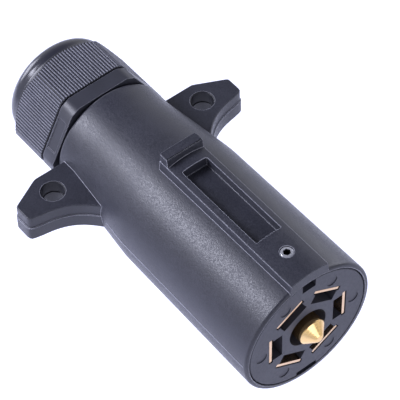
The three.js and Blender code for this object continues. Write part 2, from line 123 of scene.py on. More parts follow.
def skin(name: str, rings: Sequence[Sequence[Triple]], closed: bool = False) -> Piece:
    """Skins a row of equal rings of points.

    Args:
        name: the object's name.
        rings: the rings, each a closed loop with the same number of points.
        closed: whether the last ring joins the first; if not, both ends are capped.

    Returns:
        The closed mesh as an object, its faces outward.
    """
    count = len(rings[0])
    points = [Vector(point) * MM for ring in rings for point in ring]
    faces: list[tuple[int, ...]] = []
    for i in range(len(rings) if closed else len(rings) - 1):
        j = (i + 1) % len(rings)
        for k in range(count):
            m = (k + 1) % count
            faces.append((i * count + k, i * count + m, j * count + m, j * count + k))
    if not closed:
        last = (len(rings) - 1) * count
        faces.append(tuple(range(count)))
        faces.append(tuple(range(last, last + count)))
    mesh = bpy.data.meshes.new(name)
    mesh.from_pydata(points, [], faces)
    work = bmesh.new()
    work.from_mesh(mesh)
    bmesh.ops.remove_doubles(work, verts=work.verts, dist=1e-7)
    bmesh.ops.dissolve_degenerate(work, edges=work.edges, dist=1e-7)
    bmesh.ops.recalc_face_normals(work, faces=work.faces)
    work.to_mesh(mesh)
    work.free()
    return link(name, mesh)


def turned(
    name: str, profile: Sequence[Pair], segments: int = 96, place: Matrix = ALONG_X, closed: bool = False
) -> Piece:
    """Turns a profile about an axis.

    Args:
        name: the object's name.
        profile: points as (station along the axis, radius).
        segments: facets round the axis.
        place: carries the X axis to where the piece stands, in millimetres.
        closed: whether the profile is a loop clear of the axis.

    Returns:
        The turned solid.
    """
    angles = [math.tau * k / segments for k in range(segments)]
    rings = [[tuple(place @ Vector((x, r * math.cos(a), r * math.sin(a)))) for a in angles] for x, r in profile]
    return skin(name, rings, closed)


def graded(profile: Sequence[Pair], step: float) -> list[Pair]:
    """Splits a profile's long stretches, so that later cuts leave small faces.

    Args:
        profile: points as (station, radius).
        step: the longest stretch to leave.

    Returns:
        The same profile with points added.
    """
    made = [profile[0]]
    for (x0, r0), (x1, r1) in zip(profile, profile[1:]):
        parts = max(1, math.ceil(math.hypot(x1 - x0, r1 - r0) / step))
        made += [(x0 + (x1 - x0) * i / parts, r0 + (r1 - r0) * i / parts) for i in range(1, parts + 1)]
    return made


def arc(x: float, r: float, radius: float, start: float, end: float, steps: int = 6) -> list[Pair]:
    """Points along an arc.

    Args:
        x: the centre's first coordinate.
        r: the centre's second coordinate.
        radius: the arc's radius.
        start: first angle in degrees, from the first axis.
        end: last angle in degrees.
        steps: stretches in the arc.

    Returns:
        The points, ends included.
    """
    angles = [math.radians(start + (end - start) * i / steps) for i in range(steps + 1)]
    return [(x + radius * math.cos(a), r + radius * math.sin(a)) for a in angles]


def eased(before: Pair, corner: Pair, after: Pair, reach: float, steps: int = 5) -> list[Pair]:
    """Rounds one corner of an outline.

    Args:
        before: the corner before it.
        corner: the corner to round.
        after: the corner after it.
        reach: how far back along each side the round starts.
        steps: stretches in the round.

    Returns:
        The points that take the corner's place.
    """
    middle = Vector(corner)
    start = middle + (Vector(before) - middle).normalized() * reach
    end = middle + (Vector(after) - middle).normalized() * reach
    return bezier(tuple(start), corner, corner, tuple(end), steps)


def bezier(a: Pair, b: Pair, c: Pair, d: Pair, steps: int) -> list[Pair]:
    """Points on a cubic curve.

    Args:
        a: its start.
        b: the pull at its start.
        c: the pull at its end.
        d: its end.
        steps: stretches in the curve.

    Returns:
        The points, ends included.
    """
    made = []
    for i in range(steps + 1):
        t = i / steps
        weights = ((1 - t) ** 3, 3 * t * (1 - t) ** 2, 3 * t * t * (1 - t), t**3)
        made.append(tuple(sum(w * p[n] for w, p in zip(weights, (a, b, c, d))) for n in (0, 1)))
    return made


def rounded_box(rear: float, front: float, half: float, rear_round: float, front_round: float) -> list[Pair]:
    """The plan of a box that stands across the X axis.

    Args:
        rear: its rear end on X.
        front: its front end.
        half: its half width on Y.
        rear_round: the round at its rear corners.
        front_round: the round at its front corners.

    Returns:
        The outline, counter-clockwise.
    """
    corners = [(rear, -half), (front, -half), (front, half), (rear, half)]
    rounds = [rear_round, front_round, front_round, rear_round]
    made: list[Pair] = []
    for i, reach in enumerate(rounds):
        made += eased(corners[i - 1], corners[i], corners[(i + 1) % 4], reach)
    return made


def inset(outline: Sequence[Pair], amount: float) -> list[Pair]:
    """Moves a counter-clockwise outline inward.

    Args:
        outline: its points.
        amount: how far; a negative amount moves it outward.

    Returns:
        The moved points.
    """
    made = []
    for i, here in enumerate(outline):
        back = Vector(here) - Vector(outline[i - 1])
        ahead = Vector(outline[(i + 1) % len(outline)]) - Vector(here)
        first = Vector((-back.y, back.x)).normalized()
        second = Vector((-ahead.y, ahead.x)).normalized()
        shift = (first + second) / max(0.3, 1 + first.dot(second))
        made.append((here[0] + shift.x * amount, here[1] + shift.y * amount))
    return made


def slab(
    name: str,
    outline: Sequence[Pair],
    low: float,
    high: float,
    edges: Pair = (0.0, 0.0),
    place: Matrix = ALONG_X,
) -> Piece:
    """Carries an outline along an axis, with its end edges rounded.

    Args:
        name: the object's name.
        outline: counter-clockwise points; with no turn they are (x, y) and the axis is Z.
        low: where it starts on the axis.
        high: where it ends.
        edges: the round on the low end and on the high end.
        place: carries (x, y, axis) to the piece's own place.

    Returns:
        The solid.
    """
    steps = 4
    angles = [math.pi / 2 * i / steps for i in range(steps + 1)]
    stations = [(edges[0] * (1 - math.sin(a)), low + edges[0] * (1 - math.cos(a))) for a in angles]
    stations += [(edges[1] * (1 - math.sin(a)), high - edges[1] * (1 - math.cos(a))) for a in reversed(angles)]
    rings = [[tuple(place @ Vector((*p, z))) for p in inset(outline, step)] for step, z in stations]
    return skin(name, rings)


# carries an outline's (x, y, axis) to the plug's (y, z, x)
ACROSS = Matrix(((0, 0, 1, 0), (1, 0, 0, 0), (0, 1, 0, 0), (0, 0, 0, 1)))


def bake_modifiers(piece: Piece) -> None:
    """Replaces an object's mesh with what its modifiers make of it, and takes them off."""
    graph = bpy.context.evaluated_depsgraph_get()
    made = bpy.data.meshes.new_from_object(piece.evaluated_get(graph))
    piece.modifiers.clear()
    piece.data = made


def work_in(piece: Piece, other: Piece, how: Join) -> None:
    """Adds a solid to a piece, or cuts it away, and throws the solid away.

    Args:
        piece: the piece to change.
        other: the solid worked into it.
        how: whether it is added or cut.
    """
    tool = piece.modifiers.new("work", "BOOLEAN")
    tool.operation = how.value
    tool.solver = "MANIFOLD"
    tool.object = other
    bake_modifiers(piece)
    bpy.data.objects.remove(other)


def round_edges(piece: Piece, width: float, steps: int, where: Callable[[Vector], bool], angle: float = 35) -> None:
    """Rounds a piece's sharp edges.

    Args:
        piece: the piece to change.
        width: the round's width.
        steps: stretches across the round.
        where: says for an edge's middle, in millimetres, whether it is rounded.
        angle: the least turn between faces that counts as an edge, in degrees.
    """
    work = bmesh.new()
    work.from_mesh(piece.data)
    chosen = []
    for edge in work.edges:
        if len(edge.link_faces) == 2 and edge.calc_face_angle(0) > math.radians(angle):
            if where((edge.verts[0].co + edge.verts[1].co) / (2 * MM)):
                chosen.append(edge)
    how = {"offset_type": "OFFSET", "profile": 0.5, "affect": "EDGES", "miter_outer": "ARC"}
    bmesh.ops.bevel(work, geom=chosen, offset=width * MM, segments=steps, clamp_overlap=True, **how)
    work.to_mesh(piece.data)
    work.free()


def softened(node: str, name: str, width: float, steps: int = 2) -> Piece:
    """A copy of a frame node with its moulded or sheared edges rounded.

    Args:
        node: the frame node.
        name: the new piece's name.
        width: the round's width.
        steps: stretches across the round.

    Returns:
        The new piece.
    """
    made = link(name, bpy.data.objects[node].data.copy())
    made.data.materials.clear()
    work = bmesh.new()
    work.from_mesh(made.data)
    bmesh.ops.remove_doubles(work, verts=work.verts, dist=2e-6)
    bmesh.ops.dissolve_limit(work, angle_limit=math.radians(1), verts=work.verts, edges=work.edges)
    work.to_mesh(made.data)
    work.free()
    round_edges(made, width, steps, lambda middle: True)
    return made


def moulded(node: str, name: str, width: float, material: Material, body: str, steps: int = 2) -> None:
    """Softens a copy of one frame node and dresses it.

    Args:
        node: the frame node.
        name: the new piece's name.
        width: the round on its edges.
        material: its finish.
        body: the body it rides on.
        steps: stretches across the round.
    """
    cap_finish(softened(node, name, width, steps), material, body, [node])


def compass(degrees: float) -> Matrix:
    """The turn about the plug's axis that carries up to an angle, clockwise facing the contacts."""
    return Matrix.Rotation(math.radians(-degrees), 4, "X")


def extent(node: str) -> tuple[Vector, Vector]:
    """A frame node's lowest and highest corners, in millimetres."""
    low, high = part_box(node)
    return low / MM, high / MM


def cap_finish(
    piece: Piece,
    material: Material,
    body: str,
    nodes: Sequence[str] = (),
    smooth: float = 32,
    also: Sequence[tuple[Material, Callable[[Vector], bool]]] = (),
) -> Piece:
    """Dresses a finished piece and sets it on its body.

    Args:
        piece: the piece, in place.
        material: its finish.
        body: the body it rides on.
        nodes: the frame nodes it stands for.
        smooth: the widest angle shaded smooth, in degrees.
        also: further finishes, each with a test of a face's middle in millimetres.

    Returns:
        The piece.
    """
    piece.data.materials.clear()
    piece.data.materials.append(material)
    for number, (other, belongs) in enumerate(also, start=1):
        piece.data.materials.append(other)
        for face in piece.data.polygons:
            if belongs(face.center / MM):
                face.material_index = number
    piece.data.shade_smooth()
    piece.data.set_sharp_from_angle(angle=math.radians(smooth))
    even = piece.modifiers.new("even_shading", "WEIGHTED_NORMAL")
    even.keep_sharp = True
    even.weight = 60
    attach(piece, body)
    if nodes:
        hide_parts(*nodes)
    LOG.info("%s: %d faces, rides on %s", piece.name, len(piece.data.polygons), body)
    return piece


# ------------ finishes
def linear(code: str) -> tuple[float, float, float, float]:
    """Turns an sRGB hex value into linear red, green, blue and an alpha of one."""
    parts = [int(code[i : i + 2], 16) / 255 for i in (0, 2, 4)]
    bent = [p / 12.92 if p <= 0.04045 else ((p + 0.055) / 1.055) ** 2.4 for p in parts]
    return (bent[0], bent[1], bent[2], 1.0)


def add(tree: Tree, kind: str, inputs: dict | None = None, **settings: object) -> Node:
    """Adds a node to a tree, with its settings, values and links.

    Args:
        tree: the shader or geometry tree.
        kind: the node's type name.
        inputs: for each input's name or number, a value, or an output socket to link from.
        settings: the node's own properties.

    Returns:
        The node.
    """
    made = tree.nodes.new(kind)
    for key, value in settings.items():
        setattr(made, key, value)
    for key, value in (inputs or {}).items():
        if isinstance(value, Socket):
            tree.links.new(value, made.inputs[key])
        else:
            made.inputs[key].default_value = value
    return made


def per_mm(size: float) -> float:
    """The texture scale that gives features of a size in millimetres."""
    return 1 / (size * MM)


def noise(tree: Tree, place: Socket, size: float, detail: float) -> Socket:
    """A cloudy value from 0 to 1, with features of a size in millimetres."""
    return add(tree, "ShaderNodeTexNoise", {"Vector": place, "Scale": per_mm(size), "Detail": detail}).outputs["Fac"]


def ranged(tree: Tree, value: Socket, source: Pair = (0.0, 1.0), target: Pair = (0.0, 1.0)) -> Socket:
    """A value carried from one range to another and held inside it.

    Args:
        tree: the tree.
        value: the value.
        source: the range it is in.
        target: the range it goes to.

    Returns:
        The new value.
    """
    inputs = {"Value": value, "From Min": source[0], "From Max": source[1], "To Min": target[0], "To Max": target[1]}
    return add(tree, "ShaderNodeMapRange", inputs).outputs["Result"]


def blended(tree: Tree, share: Socket, first: Socket | str, second: str) -> Socket:
    """One colour turning into another.

    Args:
        tree: the tree.
        share: how much of the second colour there is, 0 to 1.
        first: the first colour, as a socket or a hex value.
        second: the second, as a hex value.

    Returns:
        The colour. A mix shares its sockets' names among its kinds, so they go by number.
    """
    start = linear(first) if isinstance(first, str) else first
    return add(tree, "ShaderNodeMix", {0: share, 6: start, 7: linear(second)}, data_type="RGBA").outputs[2]


# A noise's values keep to the middle of 0 to 1; this is the part of it that they fill.
NOISE_SPAN: Pair = (0.3, 0.7)
# How far the rounded normal has to lean off the true one for an edge's painted highlight to start, and to be full.
EDGE_SPAN: Pair = (0.99, 0.93)


@dataclass(frozen=True)
class Finish:
    """A surface with a main colour, a second colour it drifts to, and a fine relief."""

    name: str
    colour: str
    drift: str
    roughness: float
    spread: float = 0.06
    grain: float = 0.5
    depth: float = 0.02
    patch: float = 9.0
    metallic: float = 0.0
    ior: float = 1.5
    # The last two fields paint a highlight along sharp edges: its reach in millimetres and its colour.
    rub: float = 0.0
    rubbed: str = "8E8F9B"

    def material(self) -> Material:
        """The finish as a material."""
        made = bpy.data.materials.new(self.name)
        made.use_nodes = True
        tree = made.node_tree
        tree.nodes.clear()
        place = add(tree, "ShaderNodeTexCoord").outputs["Object"]
        shader = add(tree, "ShaderNodeBsdfPrincipled", {"Metallic": self.metallic, "IOR": self.ior})
        out = add(tree, "ShaderNodeOutputMaterial", {"Surface": shader.outputs["BSDF"]})
        out.is_active_output = True
        self.dress(tree, shader, place)
        return made

    def dress(self, tree: Tree, shader: Node, place: Socket) -> None:
        """Links the colour, the roughness and the relief to the shader.

        Args:
            tree: the material's tree.
            shader: its main shader.
            place: the coordinates that patterns read.
        """
        broad = noise(tree, place, self.patch, 3.0)
        fine = noise(tree, place, self.grain, 2.0)
        grit = self.grit(tree, fine, place)
        drift = ranged(tree, self.patches(tree, broad, grit), NOISE_SPAN)
        shade = blended(tree, drift, self.colour, self.drift)
        # Paints a highlight along the sharp edges.
        if self.rub:
            shade = self.worn(tree, shade)
        rough = ranged(tree, grit, NOISE_SPAN, (self.roughness - self.spread, self.roughness + self.spread))
        inputs = {"Height": self.height(tree, fine, place), "Distance": self.depth * MM, "Strength": 1.0}
        relief = add(tree, "ShaderNodeBump", inputs).outputs["Normal"]
        for socket, key in ((shade, "Base Color"), (rough, "Roughness"), (relief, "Normal")):
            tree.links.new(socket, shader.inputs[key])

    def grit(self, tree: Tree, fine: Socket, place: Socket) -> Socket:
        """What the roughness follows: the fine grain."""
        return fine

    def patches(self, tree: Tree, broad: Socket, grit: Socket) -> Socket:
        """What the colour follows: the broad drift."""
        return broad

    def height(self, tree: Tree, fine: Socket, place: Socket) -> Socket:
        """The relief's height: the fine grain."""
        return fine

    def worn(self, tree: Tree, colour: Socket) -> Socket:
        """Paints a highlight along sharp edges: the colour turns pale where the rounded normal leans off the true
        one.

        Args:
            tree: the material's tree.
            colour: the colour away from the edges.

        Returns:
            The colour with the painted edge highlight.
        """
        rounded = add(tree, "ShaderNodeBevel", {"Radius": self.rub * MM}, samples=6).outputs["Normal"]
        true = add(tree, "ShaderNodeNewGeometry").outputs["Normal"]
        facing = add(tree, "ShaderNodeVectorMath", {0: rounded, 1: true}, operation="DOT_PRODUCT").outputs["Value"]
        return blended(tree, ranged(tree, facing, EDGE_SPAN), colour, self.rubbed)


@dataclass(frozen=True)
class SparkFinish(Finish):
    """A spark-eroded mould's texture: tiny facets, some bright and some dull, that sparkle under a light."""

    facet: float = 0.22

    def grit(self, tree: Tree, fine: Socket, place: Socket) -> Socket:
        """What the roughness follows: one chance value for each facet."""
        facets = add(tree, "ShaderNodeTexVoronoi", {"Vector": place, "Scale": per_mm(self.facet)})
        return add(tree, "ShaderNodeSeparateColor", {"Color": facets.outputs["Color"]}).outputs["Red"]

    def patches(self, tree: Tree, broad: Socket, grit: Socket) -> Socket:
        """What the colour follows: the broad drift, broken up by the facets."""
        both = add(tree, "ShaderNodeMath", {0: broad, 1: grit}, operation="ADD").outputs[0]
        return add(tree, "ShaderNodeMath", {0: both, 1: 0.5}, operation="MULTIPLY").outputs[0]


@dataclass(frozen=True)
class TurnedFinish(Finish):
    """A metal turned on a lathe: fine rings about the plug's axis catch the light as short streaks."""

    pitch: float = 0.35
    streak: float = 0.55

    def dress(self, tree: Tree, shader: Node, place: Socket) -> None:
        """Adds the direction of the tool's rings to the plain dressing.

        Args:
            tree: the material's tree.
            shader: its main shader.
            place: the coordinates that patterns read.
        """
        super().dress(tree, shader, place)
        shader.inputs["Anisotropic"].default_value = self.streak
        rings = add(tree, "ShaderNodeTangent", direction_type="RADIAL", axis="X")
        tree.links.new(rings.outputs["Tangent"], shader.inputs["Tangent"])

    def height(self, tree: Tree, fine: Socket, place: Socket) -> Socket:
        """The relief's height: rings about the X axis, a little uneven."""
        inputs = {"Vector": place, "Scale": per_mm(self.pitch) / math.tau, "Distortion": 0.4, "Detail": 1.0}
        rings = add(tree, "ShaderNodeTexWave", inputs, wave_type="RINGS", rings_direction="X")
        return rings.outputs["Fac"]


@dataclass(frozen=True)
class RolledFinish(Finish):
    """A rolled strip: long shallow scratches run along the plug's axis."""

    stretch: float = 14.0

    def height(self, tree: Tree, fine: Socket, place: Socket) -> Socket:
        """The relief's height: grain drawn out along X."""
        drawn = add(tree, "ShaderNodeMapping", {"Vector": place, "Scale": (1 / self.stretch, 1.0, 1.0)})
        return noise(tree, drawn.outputs["Vector"], self.grain, 3.0)


# Glass-filled nylon out of a spark-textured mould: a soft sheen broken by fine sparkle, with a highlight
# painted along its edges. The real grit is about 0.1 mm; it is drawn twice as coarse, so that it shows.
HOUSING_NYLON = SparkFinish(
    "moulded_glass_filled_nylon", "2B2C35", "393A44", 0.42, 0.1, grain=0.3, depth=0.04, rub=0.34, rubbed="B9BAC6"
)
# The wall of a hole is formed by a smooth core pin; its colour is darker than the outside, which paints in the shade
# inside the hole.
SHADED_HOLE_NYLON = Finish("painted_shade_hole_nylon", "191A20", "202129", 0.5, grain=0.5, depth=0.02)
# The same nylon from a plain mould: the contact core's face is flatter and more even.
CORE_NYLON = Finish("moulded_insulator_nylon", "3A3B44", "40414B", 0.5, grain=0.8, depth=0.02)
# Unfilled nylon from a polished mould: the gland's dome mirrors the lights in clear patches.
GLAND_NYLON = Finish("polished_mould_nylon", "2A2B34", "2F3039", 0.2, spread=0.02, grain=3.0, depth=0.002)
# The ribs are the same nylon with a duller surface, their colour painted paler as a highlight on their crests.
HIGHLIGHTED_RIB_NYLON = Finish("painted_highlight_rib_nylon", "50515D", "5A5B68", 0.34, spread=0.04, grain=0.5, depth=0.002)
# Between the ribs the nylon is painted dark: painted shade in the grooves.
SHADED_GROOVE_NYLON = Finish("painted_shade_groove_nylon", "141519", "1B1C22", 0.6, grain=0.5, depth=0.004)
# The gland's hexagon is the same nylon with a finely sparked surface and a highlight painted along its edges.
GLAND_MATT = Finish("sparked_mould_nylon", "32333B", "383942", 0.4, grain=0.3, depth=0.03, rub=0.28, rubbed="A4A5B1")
# Moulded elastomer: no sparkle and hardly any gloss.
SEAL_RUBBER = Finish("moulded_elastomer", "1C1C1F", "232326", 0.72, grain=0.9, depth=0.03, ior=1.45)
# Stamped brass strip with sheared edges: warm, slightly dull, drawn lines along it.
BLADE_BRASS = RolledFinish("stamped_brass_strip", "E6C29A", "EDD0AE", 0.3, metallic=1.0, grain=0.3, depth=0.01)
# Free-cutting brass straight off the lathe: bright, with fine rings.
PIN_BRASS = TurnedFinish("turned_brass", "F3C983", "F9D69A", 0.2, spread=0.04, metallic=1.0, depth=0.008)
# Zinc-plated machine screw: grey, slightly cloudy.
SCREW_STEEL = Finish("zinc_plated_steel", "A9ABB0", "8F9196", 0.3, metallic=1.0, grain=0.4, depth=0.01)
# Bright plated grub screw: its rim shines against the dark pad.
GRUB_STEEL = Finish("nickel_plated_steel", "DADBE0", "C6C7CD", 0.3, metallic=0.6, grain=0.4, depth=0.006)
# The broached socket is painted nearly black: painted shade down in the recess.
SHADED_SOCKET_STEEL = Finish("painted_shade_socket_steel", "2C2C31", "37373D", 0.45, metallic=0.7, grain=0.4, depth=0.02)


# ------------ patterns
CIRCLE = "GeometryNodeCurvePrimitiveCircle"
TRANSFORM = "GeometryNodeTransform"
INSTANCES = "GeometryNodeInstanceOnPoints"

# A screw's head narrows to this share of its radius, and its thread's root is this share of its shank.
CROWN_SHARE = 0.88
ROOT_SHARE = 0.84


class Pattern:
    """A Geometry Nodes tree with named sizes, whose result becomes a plain mesh."""

    def __init__(self, name: str, lengths: Sequence[str], counts: Sequence[str] = (), turns: Sequence[str] = ()):
        """Starts the tree.

        Args:
            name: the tree's name.
            lengths: names of the sizes given in millimetres.
            counts: names of the whole numbers.
            turns: names of the angles given in degrees.
        """
        self.tree = bpy.data.node_groups.new(name, "GeometryNodeTree")
        self.keys: dict[str, str] = {}
        self.lengths = set(lengths)
        self.turns = set(turns)
        for label in (*lengths, *turns):
            self.declare(label, "NodeSocketFloat")
        for label in counts:
            self.declare(label, "NodeSocketInt")
        self.declare("Finish", "NodeSocketMaterial")
        self.tree.interface.new_socket("Geometry", in_out="OUTPUT", socket_type="NodeSocketGeometry")
        self.given = self.tree.nodes.new("NodeGroupInput")

    def declare(self, label: str, kind: str) -> None:
        """Adds one named input."""
        self.keys[label] = self.tree.interface.new_socket(label, in_out="INPUT", socket_type=kind).identifier

    def size(self, label: str) -> Socket:
        """The socket that carries a named input."""
        return self.given.outputs[label]

    def put(self, kind: str, inputs: dict | None = None, output: str | int = 0, **settings: object) -> Socket:
        """Adds a node to this tree and gives one of its outputs."""
        return add(self.tree, kind, inputs, **settings).outputs[output]

    def sum(self, *terms: Socket | float, how: str = "ADD") -> Socket:
        """Works one step of arithmetic on two terms."""
        return self.put("ShaderNodeMath", dict(enumerate(terms)), operation=how)

    def vector(self, x: object = 0.0, y: object = 0.0, z: object = 0.0) -> Socket:
        """Three numbers or sockets as one vector."""
        return self.put("ShaderNodeCombineXYZ", {"X": x, "Y": y, "Z": z})

    def rod(self, path: Socket, profile: Socket) -> Socket:
        """A closed rod of a profile along a path."""
        return self.put("GeometryNodeCurveToMesh", {"Curve": path, "Profile Curve": profile, "Fill Caps": True})

    def helix(self, resolution: int, radius: Socket, height: Socket) -> Socket:
        """A thread's path up the Z axis, at the tree's own Pitch.

        Args:
            resolution: points in a turn.
            radius: the path's radius.
            height: how far it climbs.

        Returns:
            The curve.
        """
        inputs = {"Resolution": resolution, "Rotations": self.sum(height, self.size("Pitch"), how="DIVIDE")}
        inputs |= {"Start Radius": radius, "End Radius": radius, "Height": height}
        return self.put("GeometryNodeCurveSpiral", inputs)

    def close(self, shape: Socket) -> None:
        """Ends the tree: the shape realised, with its finish on."""
        real = self.put("GeometryNodeRealizeInstances", {0: shape})
        dressed = self.put("GeometryNodeSetMaterial", {"Geometry": real, "Material": self.size("Finish")})
        add(self.tree, "NodeGroupOutput", {0: dressed})

    def make(self, name: str, finish: Material, **values: float) -> Piece:
        """Runs the tree and keeps its result as a plain mesh.

        Args:
            name: the new object's name.
            finish: its material.
            values: for each input, its value in millimetres, degrees or whole numbers; a name is
                written small and with underscores.

        Returns:
            The new object.
        """
        made = link(name, bpy.data.meshes.new(name))
        runner = made.modifiers.new("pattern", "NODES")
        runner.node_group = self.tree
        for key, value in values.items():
            label = key.replace("_", " ").title()
            if label in self.lengths:
                value = float(value) * MM
            elif label in self.turns:
                value = math.radians(value)
            runner[self.keys[label]] = value
        runner[self.keys["Finish"]] = finish
        bake_modifiers(made)
        return made


def rib_pattern() -> Pattern:
    """Grip ribs round a hexagon with rounded corners.

    Returns:
        The tree. Each rib is a round rod along the axis, and its rear end comes forward towards the
        corners, where the nut's shoulder cuts in.
    """
    lengths = ["Corner Reach", "Corner Round", "Rib Radius", "Front", "Flat Length", "Corner Length", "Flat Reach"]
    made = Pattern("grip_ribs", lengths, counts=["Ribs"], turns=["Turn"])
    put, size = made.put, made.size
    hexagon = put(CIRCLE, {"Resolution": 6, "Radius": size("Corner Reach")})
    inputs = {"Curve": hexagon, "Radius": size("Corner Round"), "Count": 4}
    filleted = put("GeometryNodeFilletCurve", inputs, mode="POLY")
    spaced = put("GeometryNodeResampleCurve", {"Curve": filleted, "Count": size("Ribs")})
    upright = put(TRANSFORM, {"Geometry": spaced, "Rotation": Euler((math.pi / 2, 0, math.pi / 2))})
    shift, swing = made.vector(x=size("Front")), made.vector(x=size("Turn"))
    placed = put(TRANSFORM, {"Geometry": upright, "Translation": shift, "Rotation": swing})
    line = put("GeometryNodeCurvePrimitiveLine", {"Start": (0, 0, 0), "End": (-1, 0, 0)})
    bar = made.rod(line, put(CIRCLE, {"Resolution": 12, "Radius": size("Rib Radius")}))
    place = put("GeometryNodeInputPosition")
    flat = put("ShaderNodeVectorMath", {0: place, 1: (0, 1, 1)}, operation="MULTIPLY")
    reach = put("ShaderNodeVectorMath", {0: flat}, "Value", operation="LENGTH")
    inputs = {"Value": reach, "From Min": size("Flat Reach"), "From Max": size("Corner Reach")}
    inputs |= {"To Min": size("Flat Length"), "To Max": size("Corner Length")}
    length = put("ShaderNodeMapRange", inputs)
    made.close(put(INSTANCES, {"Points": placed, "Instance": bar, "Scale": made.vector(length, 1.0, 1.0)}))
    return made


def thread_pattern() -> Pattern:
    """A helical thread along the plug's axis.

    Returns:
        The tree. It runs rearward from its start for its length.
    """
    made = Pattern("helical_thread", ["Start", "Length", "Root Radius", "Ridge", "Pitch"])
    put, size = made.put, made.size
    helix = made.helix(48, size("Root Radius"), size("Length"))
    shift = made.vector(x=size("Start"))
    laid = put(TRANSFORM, {"Geometry": helix, "Translation": shift, "Rotation": Euler((0, -math.pi / 2, 0))})
    made.close(made.rod(laid, put(CIRCLE, {"Resolution": 4, "Radius": size("Ridge")})))
    return made


def finger_pattern() -> Pattern:
    """The clamping fingers that stand in a ring round the seal.

    Returns:
        The tree. Each finger is a flat bar along the axis, turned to its place in the ring.
    """
    lengths = ["Ring Radius", "Front", "Rear", "Width", "Thickness"]
    made = Pattern("clamp_fingers", lengths, counts=["Fingers"])
    put, size = made.put, made.size
    ring = size("Ring Radius")
    middle = made.sum(made.sum(size("Front"), size("Rear")), 0.5, how="MULTIPLY")
    inputs = {"Resolution": 5, "Start": made.vector(size("Front"), 0.0, ring)}
    inputs |= {"Middle": made.vector(middle, 0.0, ring), "End": made.vector(size("Rear"), 0.0, ring)}
    path = put("GeometryNodeCurveQuadraticBezier", inputs)
    inputs = {"Width": size("Thickness"), "Height": size("Width")}
    bar = made.rod(path, put("GeometryNodeCurvePrimitiveQuadrilateral", inputs))
    points = put("GeometryNodePoints", {"Count": size("Fingers")})
    step = made.sum(math.tau, size("Fingers"), how="DIVIDE")
    turn = made.vector(x=made.sum(put("GeometryNodeInputIndex"), step, how="MULTIPLY"))
    made.close(put(INSTANCES, {"Points": points, "Instance": bar, "Rotation": turn}))
    return made


def screw_pattern() -> Pattern:
    """A slotted wire screw standing on the plug's axis and turned to its station.

    Returns:
        The tree: a tapered head with a slot cut across it, a shank and its thread.
    """
    lengths = ["Station", "Tip", "Seat", "Top", "Head Radius", "Shank Radius", "Slot Width", "Slot Depth", "Pitch"]
    made = Pattern("wire_screw", lengths, turns=["Turn"])
    put, size, total = made.put, made.size, made.sum
    rise = total(size("Top"), size("Seat"), how="SUBTRACT")
    crown = total(size("Head Radius"), CROWN_SHARE, how="MULTIPLY")
    inputs = {"Vertices": 24, "Radius Top": crown, "Radius Bottom": size("Head Radius"), "Depth": rise}
    head = put("GeometryNodeMeshCone", inputs)
    across = total(size("Head Radius"), 3.0, how="MULTIPLY")
    twice = total(size("Slot Depth"), 2.0, how="MULTIPLY")
    blade = put("GeometryNodeMeshCube", {"Size": made.vector(size("Slot Width"), across, twice)})
    lifted = put(TRANSFORM, {"Geometry": blade, "Translation": made.vector(z=rise)})
    slotted = put("GeometryNodeMeshBoolean", {0: head, 1: lifted}, operation="DIFFERENCE")
    seat, foot = made.vector(z=size("Seat")), made.vector(z=size("Tip"))
    raised = put(TRANSFORM, {"Geometry": slotted, "Translation": seat})
    core = total(size("Shank Radius"), ROOT_SHARE, how="MULTIPLY")
    axis = put("GeometryNodeCurvePrimitiveLine", {"Start": foot, "End": seat})
    shank = made.rod(axis, put(CIRCLE, {"Resolution": 16, "Radius": core}))
    helix = made.helix(16, core, total(size("Seat"), size("Tip"), how="SUBTRACT"))
    crest = total(size("Shank Radius"), core, how="SUBTRACT")
    ridge = made.rod(helix, put(CIRCLE, {"Resolution": 4, "Radius": crest}))
    thread = put(TRANSFORM, {"Geometry": ridge, "Translation": foot})
    whole = made.tree.nodes.new("GeometryNodeJoinGeometry")
    for part in (raised, shank, thread):
        made.tree.links.new(part, whole.inputs[0])
    shift, swing = made.vector(x=size("Station")), made.vector(x=size("Turn"))
    made.close(put(TRANSFORM, {"Geometry": whole.outputs[0], "Translation": shift, "Rotation": swing}))
    return made


# ------------ housing
# How far a cutter reaches past what it cuts, so that no face is shared.
PAST = 1.0


